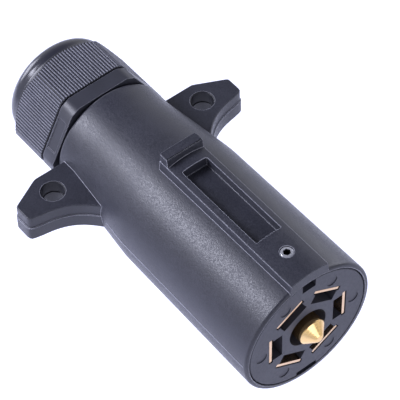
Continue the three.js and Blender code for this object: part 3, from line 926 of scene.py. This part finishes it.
@dataclass
class Housing:
    """The moulded body: barrel, latch pad and catch, two mounting ears and the stepped bore."""

    front_radius: float = 24.05
    draft_radius: float = 23.45
    draft_end: float = -61.5
    neck_radius: float = 20.4
    neck_start: float = -90.0
    rim_round: float = 1.0
    shoulder_round: float = 1.1
    wall_facets: int = 144

    # each stretch of the bore: where it ends, and its radius there
    face_bore: Pair = (-2.5, 22.55)
    core_bore: Pair = (-26.3, 21.9)
    chamber: Pair = (-60.0, 20.6)
    throat: Pair = (-82.0, 17.4)
    thread: Pair = (-88.0, 15.2)
    gasket_seat: Pair = (-97.3, 17.8)
    mouth_lip: float = 0.2
    key_half: float = 3.55
    key_top: float = -20.6
    key_front: float = -3.0

    pad_top: float = 26.7
    pad_half: float = 7.0
    pad_foot_half: float = 7.4
    pad_rear: float = -61.6
    pad_edge: float = 0.3
    buried: float = 21.0

    catch_rear: float = -61.9
    catch_front: float = -57.0
    catch_rake: float = 1.2
    catch_half: float = 6.95
    catch_top: float = 29.0
    catch_foot: float = 25.4

    pocket_rear: float = -53.5
    pocket_front: float = -18.6
    pocket_half: float = 4.7
    pocket_floor: float = 23.0

    ear_rear: float = -95.5
    ear_front: float = -70.5
    ear_root: float = 17.0
    ear_bend: float = 31.5
    ear_tip: float = 42.4
    ear_round: float = 1.6
    ear_front_round: float = 2.8
    ear_hole: Pair = (-87.75, 29.8)
    ear_hole_lip: float = 0.35
    ear_hole_radius: float = 3.7
    ear_top: float = 4.6
    ear_bottom: float = -5.2
    ledge: float = 0.35

    lock_station: float = -10.4
    lock_hole: float = 2.2
    lock_lip: float = 0.55
    bush_seat: Pair = (20.5, 3.4)
    bush_top: float = 25.3
    seam_proud: float = 0.07
    seam_half: float = 0.14

    def build(self) -> Piece:
        """The whole housing as one solid."""
        made = self.barrel()
        for solid in (self.pad(), self.catch(), *self.ears(), *self.seams()):
            work_in(made, solid, Join.ADD)
        work_in(made, self.bore(), Join.CUT)
        work_in(made, self.key(), Join.ADD)
        work_in(made, self.pocket(), Join.CUT)
        work_in(made, self.lock_bore(), Join.CUT)
        for side in (1, -1):
            work_in(made, self.ear_bore(side), Join.CUT)
        round_edges(made, 0.16, 2, self.on_pocket_lip)
        return made

    def wall(self, x: float) -> float:
        """The barrel's outer radius at a station ahead of the neck."""
        if x > self.draft_end:
            share = x / self.draft_end
            return self.front_radius + (self.draft_radius - self.front_radius) * share
        share = (x - self.draft_end) / (self.neck_start - self.draft_end)
        return self.draft_radius + (self.neck_radius - self.draft_radius) * share

    def barrel(self) -> Piece:
        """The barrel's outside, with no bore in it; the bend into the neck is eased."""
        rear = extent("housing")[0].x
        neck, rim, shoulder = (self.neck_start, self.neck_radius), self.rim_round, self.shoulder_round
        bend = eased((0, self.front_radius), (self.draft_end, self.draft_radius), neck, 5, 8)
        front = arc(-rim, self.front_radius - rim, rim, 0, 90)
        back = arc(rear + shoulder, self.neck_radius - shoulder, shoulder, 90, 180, 8)
        outer = graded([*front, *bend, neck, *back], 5)
        return turned("housing_shell", [(0, 0), *outer, (rear, 0)], self.wall_facets)

    def bore(self) -> Piece:
        """The stepped bore right through, as a cutter."""
        rear = extent("housing")[0].x - PAST
        mouth, lip = self.face_bore[1], self.mouth_lip
        steps = [(PAST, 0), (PAST, mouth + PAST + lip), (0, mouth + lip), (-lip, mouth)]
        bores = (self.face_bore, self.core_bore, self.chamber)
        for (end, radius), (_, following) in zip(bores, bores[1:]):
            steps += [(end, radius), (end, following)]
        seat, wide = self.gasket_seat
        steps += [self.chamber, self.throat, self.thread, (seat, self.thread[1])]
        steps += [(seat, wide), (rear, wide), (rear, 0)]
        return turned("bore", steps, self.wall_facets)

    def pad(self) -> Piece:
        """The raised pad along the top; its top face is concentric with the barrel."""
        lean = math.degrees(math.asin(self.pad_half / self.pad_top))
        crown = arc(0, 0, self.pad_top, 90 - lean, 90 + lean, 10)
        foot = (self.pad_foot_half, self.buried)
        side = eased(crown[1], crown[0], foot, 0.35, 3)
        other = [(-y, z) for y, z in side]
        outline = [foot, *reversed(side), *crown[1:-1], *other, (-foot[0], foot[1])]
        return slab("pad", outline, self.pad_rear, 0, (0, self.pad_edge), ACROSS)

    def catch(self) -> Piece:
        """The latch catch behind the pad: flat top, raked front face, rear corners rounded."""
        rear, front, half = self.catch_rear, self.catch_front, self.catch_half
        outline = rounded_box(rear, front, half, 2.0, 0.15)
        made = slab("catch", outline, self.buried, self.catch_top, (0, 0.3))
        rise = self.catch_top - self.catch_foot
        for vertex in made.data.vertices:
            x, z = vertex.co.x / MM, vertex.co.z / MM
            if x > (rear + front) / 2 and z > self.catch_foot:
                vertex.co.x = (x - self.catch_rake * (z - self.catch_foot) / rise) * MM
        return made

    def ear_outline(self) -> list[Pair]:
        """The plan of the +Y ear, counter-clockwise."""
        root, bend, tip = (self.ear_rear, self.ear_root), (self.ear_rear, self.ear_bend), (-90.0, self.ear_tip)
        tip_front, sweep = (-83.2, self.ear_tip), ((-82.3, 38.0), (-81.4, 31.0), (-79.0, 26.5), (-73.2, 21.9))
        outline = [
            root,
            *eased(root, bend, tip, self.ear_round),
            *eased(bend, tip, tip_front, self.ear_round),
            *eased(tip, tip_front, sweep[0], self.ear_front_round),
            *bezier(*sweep, 14),
            (self.ear_front, 19.6),
            (self.ear_front, self.ear_root),
        ]
        return outline[::-1]

    def ears(self) -> list[Piece]:
        """Both ears, each an upper plate on a lower one that stands a ledge proud of it."""
        upper = self.ear_outline()
        plates = (
            ("ear_upper", upper, -0.4, self.ear_top, (0, 0.45)),
            ("ear_lower", inset(upper, -self.ledge), self.ear_bottom, 0, (0.4, 0.06)),
        )
        return [
            slab(name, [(x, side * y) for x, y in plan][::side], low, high, edges)
            for side in (1, -1)
            for name, plan, low, high, edges in plates
        ]

    def seams(self) -> list[Piece]:
        """The mould's parting line, a hair proud down both sides of the barrel."""
        stations = [-1.3, -20, -40, self.draft_end, -70]
        outside = [(x, self.wall(x) + self.seam_proud) for x in stations]
        outline = [(x, self.wall(x) - PAST) for x in reversed(stations)] + outside
        half = self.seam_half
        return [slab("seam", [(x, side * y) for x, y in outline][::-side], -half, half) for side in (1, -1)]

    def key(self) -> Piece:
        """The rib in the bore's floor that the core's keyway rides on."""
        rear, radius = self.core_bore
        half, bottom, top = self.key_half, -radius - 0.6, self.key_top
        outline = [(-half, bottom), (half, bottom), (half, top), (-half, top)]
        return slab("key", outline, rear - PAST, self.key_front, (0, 0.3), ACROSS)

    def pocket(self) -> Piece:
        """The long shallow pocket in the pad, as a cutter."""
        rear, front, half = self.pocket_rear, self.pocket_front, self.pocket_half
        outline = rounded_box(rear, front, half, 1.0, 0.5)
        return slab("pocket", outline, self.pocket_floor, 30, (0.25, 0))

    def in_ear_hole(self, middle: Vector) -> bool:
        """Whether a face's middle is on the wall of an ear's hole, or on its broken lips."""
        x, y = self.ear_hole
        between = self.ear_bottom + 0.03 < middle.z < self.ear_top - 0.03
        return between and math.hypot(middle.x - x, abs(middle.y) - y) < self.ear_hole_radius + self.ear_hole_lip

    def on_pocket_lip(self, middle: Vector) -> bool:
        """Whether an edge is on the pocket's mouth."""
        inside_x = self.pocket_rear - 0.4 < middle.x < self.pocket_front + 0.4
        return inside_x and abs(middle.y) < self.pocket_half + 0.3 and middle.z > self.pad_top - 1.2

    def lock_bore(self) -> Piece:
        """The hole for the lock screw and, below it, the seat of its bush."""
        (low, bush), (seat, hole) = self.bush_seat, (self.bush_top, self.lock_hole)
        top = self.pad_top + 0.5
        profile = [(low, 0), (low, bush), (seat, bush), (seat, hole), (top - self.lock_lip, hole)]
        profile += [(top, hole + self.lock_lip), (top, 0)]
        return turned("lock_bore", profile, 40, Matrix.Translation((self.lock_station, 0, 0)) @ ALONG_Z)

    def ear_bore(self, side: int) -> Piece:
        """The through hole of one ear: its lips are broken and it is narrowest half way.

        Args:
            side: +1 for the +Y ear and -1 for the other.

        Returns:
            The cutter.
        """
        lip, low, high = self.ear_hole_lip, self.ear_bottom - PAST, self.ear_top + PAST
        radius = self.ear_hole_radius
        wide = radius + lip + PAST
        profile = [(low, 0), (low, wide), (self.ear_bottom + lip, radius), (-0.05, radius - 0.2)]
        profile += [(0.05, radius), (self.ear_top - lip, radius + 0.05), (high, wide), (high, 0)]
        x, y = self.ear_hole
        return turned("ear_bore", profile, 48, Matrix.Translation((x, side * y, 0)) @ ALONG_Z)


# ------------ lock screw
@dataclass
class LockScrew:
    """The socket-headed grub screw in the pad."""

    radius: float = 2.1
    rim: float = 0.35
    foot: float = 0.5
    socket: float = 2.0
    socket_depth: float = 2.2
    socket_flare: float = 0.15
    drill_cone: float = 0.4
    cutter_rise: float = 0.6
    station: float = Housing.lock_station

    @property
    def corner(self) -> float:
        """The socket's size over its corners, halved."""
        return self.socket / math.sqrt(3)

    def build(self) -> Piece:
        """The screw with its rounded rim and hexagon socket."""
        low, high = (corner.z for corner in extent("lock_screw"))
        place = Matrix.Translation((self.station, 0, 0)) @ ALONG_Z
        crown = arc(high - self.rim, self.radius - self.rim, self.rim, 90, 0, 4)
        side = [(low, self.radius - self.foot), (low + self.foot, self.radius)]
        made = turned("lock_screw_body", [(low, 0), *side, *crown, (high, 0)], 48, place)
        floor, over, wide = high - self.socket_depth, high + self.cutter_rise, self.corner + self.cutter_rise
        hollow = [(floor - self.drill_cone, 0), (floor, self.corner), (high - self.socket_flare, self.corner)]
        work_in(made, turned("socket", [*hollow, (over, wide), (over, 0)], 6, place), Join.CUT)
        return made

    def inside(self, middle: Vector) -> bool:
        """Whether a face's middle, in millimetres, is down in the socket."""
        off = math.hypot(middle.x - self.station, middle.y)
        return off < self.corner + 0.05 and middle.z < extent("lock_screw")[1].z - 0.01


# ------------ gland
@dataclass
class GlandNut:
    """The ribbed clamping nut with its polished dome."""

    turn: float = -2.1
    flat: float = 19.85
    corner_round: float = 3.4
    groove: float = 0.34
    rib_radius: float = 0.36
    ribs: int = 132
    rib_end_flat: float = -122.0
    rib_end_corner: float = -118.9
    front: float = -105.2
    edge: float = 0.6
    shoulder_start: float = -119.2
    shoulder_reach: float = 22.4
    shoulder_slope: float = 1.17
    dome_join: float = -122.6
    dome_radius: float = 19.1
    dome_x: float = -124.2
    dome_round: float = 5.4
    rear: float = -129.6
    lip_round: float = 2.0
    opening: float = 10.9
    thread_radius: float = 14.9
    thread_end: float = -118.6
    cone_end: float = -124.0
    columns: int = 240

    def reach(self, degrees: float) -> float:
        """The grooved hexagon's radius in a direction.

        Args:
            degrees: the angle from a flat's middle.

        Returns:
            The distance from the axis.
        """
        flat = self.flat - self.groove
        off = (degrees + 30) % 60 - 30
        from_corner = math.radians(30 - abs(off))
        centre = (flat - self.corner_round) / math.cos(math.radians(30))
        tangent = math.atan2(self.corner_round * 0.5, centre + self.corner_round * math.cos(math.radians(30)))
        if from_corner > tangent:
            return flat / math.cos(math.radians(off))
        swing = centre * math.sin(from_corner)
        return centre * math.cos(from_corner) + math.sqrt(self.corner_round**2 - swing**2)

    def meridian(self, degrees: float) -> list[Pair]:
        """The nut's outline in one direction, as (x, radius), with the same number of points in each.

        Args:
            degrees: the angle from a flat's middle.

        Returns:
            A closed outline, from the front face round to the thread.
        """
        reach = self.reach(degrees)
        fall = self.shoulder_start - max(0.0, self.shoulder_reach - reach) * self.shoulder_slope
        pull = 0.45 * (reach - self.dome_radius)
        dome = arc(self.dome_x, self.dome_radius - self.dome_round, self.dome_round, 90, 180, 14)
        lip = arc(self.rear + self.lip_round, self.opening + self.lip_round, self.lip_round, 180, 270, 6)
        join, radius = self.dome_join, self.dome_radius
        pulls = (fall - pull - 0.3, reach - pull), (join + 0.4, radius + 0.12)
        shoulder = bezier((fall, reach), *pulls, (join - 0.6, radius), 8)
        return [
            (self.front, self.thread_radius + 0.6),
            (self.front, reach - self.edge),
            *eased((self.front, 0), (self.front, reach), (fall, reach), self.edge, 4)[1:],
            ((self.front + fall) / 2, reach),
            *shoulder,
            *dome,
            *lip,
            (self.cone_end, self.opening),
            (self.thread_end, self.thread_radius),
            (self.front - 0.6, self.thread_radius),
        ]

    def build(self) -> Piece:
        """The nut's body, skinned from its outlines."""
        rings = []
        for i in range(self.columns):
            degrees = 360 * i / self.columns
            swing = compass(degrees + self.turn)
            rings.append([tuple(swing @ Vector((x, 0, r))) for x, r in self.meridian(degrees)])
        return skin("gland_nut_body_shell", rings, closed=True)

    def between_ribs(self, middle: Vector) -> bool:
        """Whether a face's middle is on the hexagon that the ribs stand on."""
        out = math.hypot(middle.y, middle.z)
        return self.shoulder_start - 1 < middle.x < self.front - 0.1 and out > self.flat - self.groove - 0.1

    def grip(self, finish: Material) -> Piece:
        """The ribs on the nut's flats and round its corners."""
        centre = self.flat - self.rib_radius
        front = self.front - self.edge * 0.5
        corner = centre / math.cos(math.radians(30))
        shape = {"corner_round": self.corner_round, "rib_radius": self.rib_radius, "ribs": self.ribs}
        reach = {"corner_reach": corner, "flat_reach": centre}
        length = {"flat_length": front - self.rib_end_flat, "corner_length": front - self.rib_end_corner}
        return rib_pattern().make("gland_nut_ribs", finish, front=front, turn=-self.turn, **shape, **reach, **length)


@dataclass
class GlandThread:
    """The gland body's thread, which the nut winds along."""

    start: float = -105.6
    length: float = 11.4
    root_radius: float = 14.5
    ridge: float = 0.34
    pitch: float = 1.5

    def build(self, finish: Material) -> Piece:
        """The thread's ridge."""
        return thread_pattern().make("gland_body_thread", finish, **asdict(self))


@dataclass
class GlandInsert:
    """What grips the cable: a cage of fingers round a rubber seal."""

    inner: float = 8.8
    outer: float = 10.4
    collar: float = 11.3
    front: float = -107.5
    collar_rear: float = -112.0
    root: float = -114.0
    rear: float = -127.6
    fingers: int = 24
    finger_width: float = 1.75
    seal_inner: float = 6.5
    seal_outer: float = 8.5
    seal_front: float = -108.0
    seal_rear: float = -126.6
    plain_end: float = 1.6
    ripples: int = 6
    ripple: float = 0.14
    mouth: float = 1.1

    def cage(self) -> Piece:
        """The cage's collar and the tube its fingers grow from."""
        front, rear, collar = self.front, self.collar_rear, self.collar
        profile = [(front, self.inner), (front, collar - 0.3), (front - 0.3, collar), (rear + 0.4, collar)]
        profile += [(rear, collar - 0.4), (rear - 0.2, self.outer), (self.root, self.outer), (self.root, self.inner)]
        return turned("gland_claw_collar", profile, 96, closed=True)

    def claws(self, finish: Material) -> Piece:
        """The ring of fingers."""
        section = {"width": self.finger_width, "thickness": self.outer - self.inner - 0.1}
        ring = {"ring_radius": (self.inner + self.outer) / 2, "fingers": self.fingers}
        front = self.root + 0.4
        return finger_pattern().make("gland_claw_fingers", finish, front=front, rear=self.rear, **section, **ring)

    def seal(self) -> Piece:
        """The seal: a sleeve with shallow rings in its bore and a flared mouth."""
        steps, front, rear, inner, outer = 60, self.seal_front, self.seal_rear, self.seal_inner, self.seal_outer
        start, length = rear + self.plain_end, front - rear - 1.5 * self.plain_end
        wave = []
        for i in range(steps + 1):
            swell = 1 - math.cos(math.tau * self.ripples * i / steps)
            wave.append((start + length * i / steps, inner + self.ripple * swell))
        profile = [*wave, (front, inner + 0.6), (front, outer - 0.2), (front - 0.2, outer)]
        profile += arc(rear + 0.4, outer - 0.4, 0.4, 90, 180, 4)
        profile += [(rear, inner + self.mouth), *arc(rear + self.mouth, inner + self.mouth, self.mouth, 180, 250, 4)]
        return turned("gland_seal_sleeve", profile, 72, closed=True)


# ------------ contact core
@dataclass
class CentrePin:
    """The turned centre pin with its blunt cone."""

    radius: float = 4.7
    cone: float = 2.0
    tip: float = 5.3
    tip_radius: float = 1.3
    shoulder: float = -24.0
    tail_radius: float = 4.0
    rear: float = -34.0
    wire_radius: float = 1.8
    wire_end: float = -27.0
    screw_station: float = -28.8
    tapped_radius: float = 1.7

    def build(self) -> Piece:
        """The pin, with its wire bore and the tapped hole across it."""
        start, tip, base = (self.tip, 0), (self.tip, self.tip_radius), (self.cone, self.radius)
        shoulder, rear, lip = (self.shoulder, self.radius), self.rear, 0.3
        tail, wire = self.tail_radius, self.wire_radius
        profile = [start, *eased(start, tip, base, 0.35, 4), *eased(tip, base, shoulder, 0.4, 4), shoulder]
        profile += [(self.shoulder, tail), (rear + lip, tail), (rear, tail - lip), (rear, wire + lip)]
        profile += [(rear + lip, wire), (self.wire_end, wire), (self.wire_end + 1, 0)]
        made = turned("centre_pin_turned", profile, 72)
        place = compass(180) @ Matrix.Translation((self.screw_station, 0, 0)) @ ALONG_Z
        deep, wide = self.tail_radius + 2, self.tapped_radius
        work_in(made, turned("tapped", [(0, 0), (0, wide), (deep, wide), (deep, 0)], 24, place), Join.CUT)
        return made


@dataclass
class WireScrews:
    """The seven screws that clamp the wires."""

    blade_station: float = -38.0
    pin_station: float = CentrePin.screw_station
    blade_tip: float = 14.1
    pin_tip: float = 2.3
    seat: float = 15.8
    top: float = 17.3
    head_radius: float = 2.4
    shank_radius: float = 1.4
    slot_width: float = 0.7
    slot_depth: float = 0.7
    pitch: float = 0.6

    def build(self, finish: Material) -> list[Piece]:
        """All seven, numbered as their contacts are, the pin's last."""
        pattern = screw_pattern()
        shape = {key: value for key, value in asdict(self).items() if not key.startswith(("blade", "pin"))}
        places = [(self.blade_station, self.blade_tip, 30 + 60 * i) for i in range(6)]
        places.append((self.pin_station, self.pin_tip, 180))
        return [
            pattern.make(f"wire_screw_{number}", finish, station=station, tip=tip, turn=-angle, **shape)
            for number, (station, tip, angle) in enumerate(places, start=1)
        ]


# ------------ studio
LIGHT_TINT = "EBEDFF"


@dataclass(frozen=True)
class Softbox:
    """A rectangular soft light that faces the plug."""

    name: str
    direction: Triple
    width: float
    height: float
    power: float
    distance: float = 0.62

    def place(self, aim: Vector) -> None:
        """Hangs the light and points it.

        Args:
            aim: the point it faces, in metres.
        """
        data = bpy.data.lights.new(self.name, "AREA")
        data.shape = "RECTANGLE"
        data.size, data.size_y, data.energy = self.width, self.height, self.power
        data.color = linear(LIGHT_TINT)[:3]
        lamp = bpy.data.objects.new(self.name, data)
        outward = Vector(self.direction).normalized()
        lamp.location = aim + outward * self.distance
        lamp.rotation_mode = "QUATERNION"
        lamp.rotation_quaternion = outward.to_track_quat("Z", "Y")
        bpy.context.scene.collection.objects.link(lamp)


@dataclass
class Studio:
    """The pale floor, the lights and the camera."""

    floor_drop: float = 0.16
    floor_reach: float = 6.0
    floor_colour: str = "E9EBFC"
    floor_glow: float = 0.5
    floor_sheet: float = 10.0
    fibre: float = 40.0
    camera_at: Triple = (260.997, -236.871, 492.763)
    camera_right: Triple = (0.62287148, 0.78208678, -0.01927166)
    camera_up: Triple = (-0.59901712, 0.49262596, 0.6312671)
    lens: float = 182.7
    sky_low: str = "F2F3FA"
    sky_high: str = "4F505B"
    sky_span: Pair = (0.15, 0.75)
    sky_strength: float = 0.9

    def build(self) -> None:
        """Sets up everything round the plug."""
        low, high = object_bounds()
        aim = (low + high) / 2
        self.floor(low.z - self.floor_drop)
        for light in (
            Softbox("left_softbox", (-0.50, -0.60, 0.62), 0.34, 0.24, 4.4),
            Softbox("rear_softbox", (-0.95, -0.22, 0.12), 0.24, 0.24, 1.3),
            Softbox("right_softbox", (-0.15, 0.95, 0.35), 0.30, 0.50, 1.5),
            Softbox("front_softbox", (0.9, 0.05, 0.35), 0.40, 0.30, 0.7),
        ):
            light.place(aim)
        self.sky()
        self.camera()

    def floor(self, height: float) -> None:
        """A plain pale sheet under the plug.

        Args:
            height: its level, in metres.
        """
        reach = self.floor_reach / MM
        level = height / MM
        outline = [(-reach, -reach), (reach, -reach), (reach, reach), (-reach, reach)]
        made = slab("studio_floor", outline, level - self.floor_sheet, level)
        paper = bpy.data.materials.new("matt_backdrop_paper")
        paper.use_nodes = True
        tree = paper.node_tree
        tree.nodes.clear()
        place = add(tree, "ShaderNodeTexCoord").outputs["Object"]
        shade = linear(self.floor_colour)
        inputs = {"Base Color": shade, "Emission Color": shade, "Emission Strength": self.floor_glow}
        inputs["Roughness"] = ranged(tree, noise(tree, place, self.fibre, 3.0), target=(0.92, 0.96))
        shader = add(tree, "ShaderNodeBsdfPrincipled", inputs)
        add(tree, "ShaderNodeOutputMaterial", {"Surface": shader.outputs["BSDF"]})
        made.data.materials.append(paper)
        made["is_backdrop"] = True

    def sky(self) -> None:
        """Soft light from all round, brightest at the level of the floor and dimmer overhead."""
        world = bpy.data.worlds.new("studio_surround")
        world.use_nodes = True
        tree = world.node_tree
        tree.nodes.clear()
        place = add(tree, "ShaderNodeTexCoord").outputs["Generated"]
        rise = add(tree, "ShaderNodeSeparateXYZ", {"Vector": place}).outputs["Z"]
        shade = blended(tree, ranged(tree, rise, self.sky_span), self.sky_low, self.sky_high)
        light = add(tree, "ShaderNodeBackground", {"Color": shade, "Strength": self.sky_strength})
        add(tree, "ShaderNodeOutputWorld", {"Surface": light.outputs["Background"]})
        bpy.context.scene.world = world

    def camera(self) -> None:
        """The camera, looking down on the plug from the front left."""
        right, up = Vector(self.camera_right), Vector(self.camera_up)
        back = right.cross(up).normalized()
        turn = Matrix((right, up, back)).transposed().to_4x4()
        data = bpy.data.cameras.new("studio_camera")
        data.lens = self.lens
        data.sensor_width = 36.0
        data.clip_start, data.clip_end = 0.01, 50.0
        eye = bpy.data.objects.new("studio_camera", data)
        eye.matrix_world = Matrix.Translation(Vector(self.camera_at) * MM) @ turn
        bpy.context.scene.collection.objects.link(eye)
        bpy.context.scene.camera = eye


# ------------ assembly
def clear_scene() -> None:
    """Removes whatever the new file started with."""
    for leftover in list(bpy.data.objects):
        bpy.data.objects.remove(leftover)


def build_shell() -> None:
    """The housing and what stays on it: bush, gland body with its thread, gasket."""
    matt = GLAND_MATT.material()
    housing = Housing()
    # The ear holes' walls take the painted shade.
    walls = [(SHADED_HOLE_NYLON.material(), housing.in_ear_hole)]
    cap_finish(housing.build(), HOUSING_NYLON.material(), "shell", ["housing"], also=walls)
    moulded("lock_bush", "lock_screw_bush", 0.12, PIN_BRASS.material(), "shell")
    moulded("gland_body", "gland_body_moulding", 0.22, matt, "shell", steps=3)
    cap_finish(GlandThread().build(matt), matt, "shell")
    moulded("gland_gasket", "gland_gasket_ring", 0.2, SEAL_RUBBER.material(), "shell")


def build_core() -> None:
    """The sliding core: insulators, blades, pin and the screws that join them."""
    insulator, brass, steel = CORE_NYLON.material(), BLADE_BRASS.material(), SCREW_STEEL.material()
    moulded("contact_core", "contact_core_moulding", 0.09, insulator, "core")
    moulded("terminal_block", "terminal_block_moulding", 0.15, insulator, "core")
    for i in range(1, 7):
        moulded(f"blade_contact_{i}", f"blade_{i}", 0.22, brass, "core")
    cap_finish(CentrePin().build(), PIN_BRASS.material(), "core", ["centre_pin"])
    for i in (1, 2):
        moulded(f"core_screw_{i}", f"core_joining_screw_{i}", 0.12, steel, "core")
    for i, screw in enumerate(WireScrews().build(steel), start=1):
        cap_finish(screw, steel, f"terminal_screw_{i}_body", [f"terminal_screw_{i}"])


def build_lock_screw() -> None:
    """The grub screw that keeps the core from sliding out."""
    lock = LockScrew()
    # The socket takes the painted shade.
    socket = [(SHADED_SOCKET_STEEL.material(), lock.inside)]
    cap_finish(lock.build(), GRUB_STEEL.material(), "lock_screw_body", ["lock_screw"], also=socket)


def build_gland() -> None:
    """The clamping nut and the insert that it presses on the cable."""
    nut, insert = GlandNut(), GlandInsert()
    # The ribs take the painted highlight; the cage keeps its plain finish.
    ribs, cage = HIGHLIGHTED_RIB_NYLON.material(), GLAND_MATT.material()
    # The grooves between the ribs take the painted shade.
    grooves = [(SHADED_GROOVE_NYLON.material(), nut.between_ribs)]
    cap_finish(nut.build(), GLAND_NYLON.material(), "gland_nut_body", ["gland_nut"], also=grooves)
    cap_finish(nut.grip(ribs), ribs, "gland_nut_body", smooth=60)
    cap_finish(insert.cage(), cage, "gland_insert", ["gland_claw"])
    cap_finish(insert.claws(cage), cage, "gland_insert")
    cap_finish(insert.seal(), SEAL_RUBBER.material(), "gland_insert", ["gland_seal"])


def main() -> None:
    """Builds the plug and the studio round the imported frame."""
    logging.basicConfig(level=logging.INFO, format="%(name)s: %(message)s")
    clear_scene()
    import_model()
    build_shell()
    build_core()
    build_lock_screw()
    build_gland()
    Studio().build()
    bpy.context.scene.view_settings.view_transform = "Standard"


if __name__ == "__main__":
    main()
